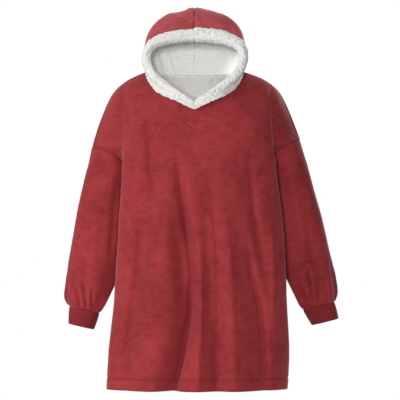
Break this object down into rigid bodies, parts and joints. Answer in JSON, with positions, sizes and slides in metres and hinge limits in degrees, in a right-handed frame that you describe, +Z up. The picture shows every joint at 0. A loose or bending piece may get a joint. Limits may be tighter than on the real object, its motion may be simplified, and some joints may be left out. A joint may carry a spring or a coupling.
{
  "type": "hooded wearable blanket",
  "caption": "Oversized pull-on fleece garment with dropped shoulders, long sleeves, rib cuffs and a pile-lined hood turned out round the face.",
  "frame": {"origin": "between the shoulder tops, where the wearer's shoulders carry the garment", "axes": "+X towards the image right of the front view, -Y out of the front, +Z up"},
  "size_m": [0.8286, 0.3732, 1.1486],
  "materials": {
    "fleece": "soft velvety fleece",
    "rib": "rib knit",
    "pile": "curly pile"
  },
  "bodies": {
    "root": {"body_front": "fleece", "body_back": "fleece", "sleeve_left": "fleece", "sleeve_right": "fleece", "cuff_left": "rib", "cuff_right": "rib", "hood_left": "fleece", "hood_right": "fleece", "neck_lining": "pile", "hood_lining_left": "pile", "hood_lining_right": "pile"}
  },
  "joints": []
}
